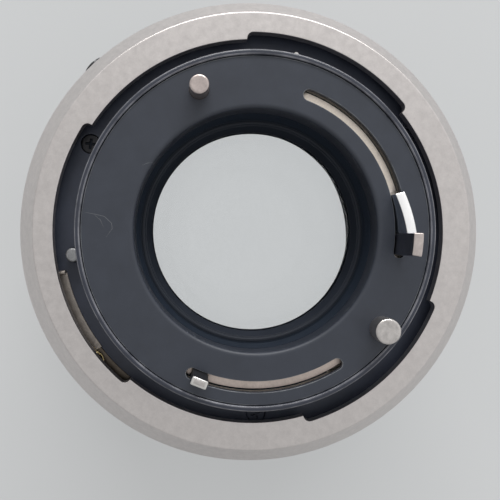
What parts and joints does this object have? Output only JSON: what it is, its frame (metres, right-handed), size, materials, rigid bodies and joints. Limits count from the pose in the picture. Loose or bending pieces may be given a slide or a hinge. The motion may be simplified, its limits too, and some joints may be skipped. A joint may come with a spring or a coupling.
{
  "type": "standard prime lens",
  "caption": "Standard prime lens with a breech-lock mount: bevelled locking ring, aperture and signal levers, iris, helicoid focusing and a ribbed rubber grip.",
  "frame": {"origin": "centre of the front rim's plane, on which the lens stands", "axes": "+Z along the optical axis towards the camera; -Y is the side of the mounting index"},
  "size_m": [0.0648, 0.0648, 0.0589],
  "materials": {
    "black_anodised": "satin black anodising",
    "black_steel": "blackened steel",
    "satin_silver": "satin anodised aluminium",
    "polished_steel": "fine turned",
    "bronze": "dull bronze",
    "grip_rubber": "matte",
    "coated_glass": "polished, coated"
  },
  "bodies": {
    "mount_body": {"rear_mount_housing": "black_anodised", "rear_cover_plate": "black_anodised", "lever_bearing_sleeve": "black_anodised", "mount_barrel": "black_anodised", "depth_scale_ring": "black_anodised", "positioning_pin": "polished_steel", "full_aperture_pin": "polished_steel", "lock_spring_leaf": "bronze", "mount_screws": "black_steel", "guide_keys": "bronze", "click_ball": "polished_steel", "click_spring": "polished_steel"},
    "breech_ring": {"breech_lock_ring": "satin_silver", "breech_keeper_ring": "black_anodised"},
    "aperture_control": {"aperture_ring": "black_anodised", "aperture_coupling_pin": "polished_steel"},
    "button": {"lock_button": "black_anodised"},
    "signal_lever": {"signal_lever_carrier": "bronze", "aperture_signal_lever": "polished_steel"},
    "auto_lever": {"automatic_lever_carrier": "bronze", "automatic_aperture_lever": "polished_steel"},
    "switch_pin": {"exposure_switch_pin": "polished_steel"},
    "release_pin": {"ring_release_pin": "polished_steel"},
    "focus_control": {"focus_ring": "black_anodised", "focus_grip": "grip_rubber", "helicoid_sleeve": "bronze"},
    "optic_unit": {"filter_ring": "black_anodised", "name_ring": "black_anodised", "front_barrel": "black_anodised", "front_cell": "black_anodised", "front_retaining_ring": "black_anodised", "front_spacer": "black_anodised", "rear_cell": "black_anodised", "rear_spacer": "black_anodised", "rear_retaining_ring": "black_anodised", "iris_housing": "black_anodised", "glass_element_1": "coated_glass", "glass_element_2": "coated_glass", "glass_element_3": "coated_glass", "glass_element_4": "coated_glass", "glass_element_5": "coated_glass", "glass_element_6": "coated_glass"},
    "iris_drive": {"iris_drive_ring": "polished_steel"},
    "blade_1": {"iris_blade_1": "black_steel"},
    "blade_2": {"iris_blade_2": "black_steel"},
    "blade_3": {"iris_blade_3": "black_steel"},
    "blade_4": {"iris_blade_4": "black_steel"},
    "blade_5": {"iris_blade_5": "black_steel"},
    "blade_6": {"iris_blade_6": "black_steel"}
  },
  "joints": [
    {"name": "breech_turn", "type": "hinge", "parent": "mount_body", "child": "breech_ring", "pos_m": [0, 0, 0.0445], "axis": [0, 0, 1], "range_deg": [0, 55]},
    {"name": "aperture_turn", "type": "hinge", "parent": "mount_body", "child": "aperture_control", "pos_m": [0, 0, 0.0445], "axis": [0, 0, 1], "range_deg": [0, 50]},
    {"name": "signal_turn", "type": "hinge", "parent": "mount_body", "child": "signal_lever", "pos_m": [0, 0, 0.0445], "axis": [0, 0, 1], "range_deg": [0, 50]},
    {"name": "automatic_turn", "type": "hinge", "parent": "mount_body", "child": "auto_lever", "pos_m": [0, 0, 0.0445], "axis": [0, 0, 1], "range_deg": [0, 36], "stiffness_Nm_per_rad": 0.003},
    {"name": "focus_turn", "type": "hinge", "parent": "mount_body", "child": "focus_control", "pos_m": [0, 0, 0.0445], "axis": [0, 0, 1], "range_deg": [0, 180]},
    {"name": "optic_slide", "type": "slide", "parent": "mount_body", "child": "optic_unit", "axis": [0, 0, -1], "range_m": [0, 0.0051]},
    {"name": "switch_pin_slide", "type": "slide", "parent": "mount_body", "child": "switch_pin", "axis": [0, 0, -1], "range_m": [0, 0.0015], "stiffness_N_per_m": 150},
    {"name": "release_pin_slide", "type": "slide", "parent": "mount_body", "child": "release_pin", "axis": [0, 0, -1], "range_m": [0, 0.0012], "stiffness_N_per_m": 150},
    {"name": "button_slide", "type": "slide", "parent": "aperture_control", "child": "button", "axis": [0.831, 0.5563, 0], "range_m": [0, 0.001], "stiffness_N_per_m": 300},
    {"name": "iris_turn", "type": "hinge", "parent": "optic_unit", "child": "iris_drive", "pos_m": [0, 0, 0.03], "axis": [0, 0, 1], "range_deg": [0, 36]},
    {"name": "blade_1_turn", "type": "hinge", "parent": "optic_unit", "child": "blade_1", "pos_m": [0.01714, 0.0015, 0.03], "axis": [0, 0, 1], "range_deg": [0, 31.73]},
    {"name": "blade_2_turn", "type": "hinge", "parent": "optic_unit", "child": "blade_2", "pos_m": [0.00727, 0.01559, 0.03], "axis": [0, 0, 1], "range_deg": [0, 31.73]},
    {"name": "blade_3_turn", "type": "hinge", "parent": "optic_unit", "child": "blade_3", "pos_m": [-0.00987, 0.01409, 0.03], "axis": [0, 0, 1], "range_deg": [0, 31.73]},
    {"name": "blade_4_turn", "type": "hinge", "parent": "optic_unit", "child": "blade_4", "pos_m": [-0.01714, -0.0015, 0.03], "axis": [0, 0, 1], "range_deg": [0, 31.73]},
    {"name": "blade_5_turn", "type": "hinge", "parent": "optic_unit", "child": "blade_5", "pos_m": [-0.00727, -0.01559, 0.03], "axis": [0, 0, 1], "range_deg": [0, 31.73]},
    {"name": "blade_6_turn", "type": "hinge", "parent": "optic_unit", "child": "blade_6", "pos_m": [0.00987, -0.01409, 0.03], "axis": [0, 0, 1], "range_deg": [0, 31.73]}
  ],
  "couplings": [
    {"joint": "signal_turn", "follows": "aperture_turn", "ratio": 1},
    {"joint": "optic_slide", "follows": "focus_turn", "m_per_rad": 0.0016234},
    {"joint": "iris_turn", "follows": "automatic_turn", "ratio": 1},
    {"joint": "blade_1_turn", "follows": "automatic_turn", "ratio": 0.88101},
    {"joint": "blade_2_turn", "follows": "automatic_turn", "ratio": 0.88101},
    {"joint": "blade_3_turn", "follows": "automatic_turn", "ratio": 0.88101},
    {"joint": "blade_4_turn", "follows": "automatic_turn", "ratio": 0.88101},
    {"joint": "blade_5_turn", "follows": "automatic_turn", "ratio": 0.88101},
    {"joint": "blade_6_turn", "follows": "automatic_turn", "ratio": 0.88101}
  ]
}
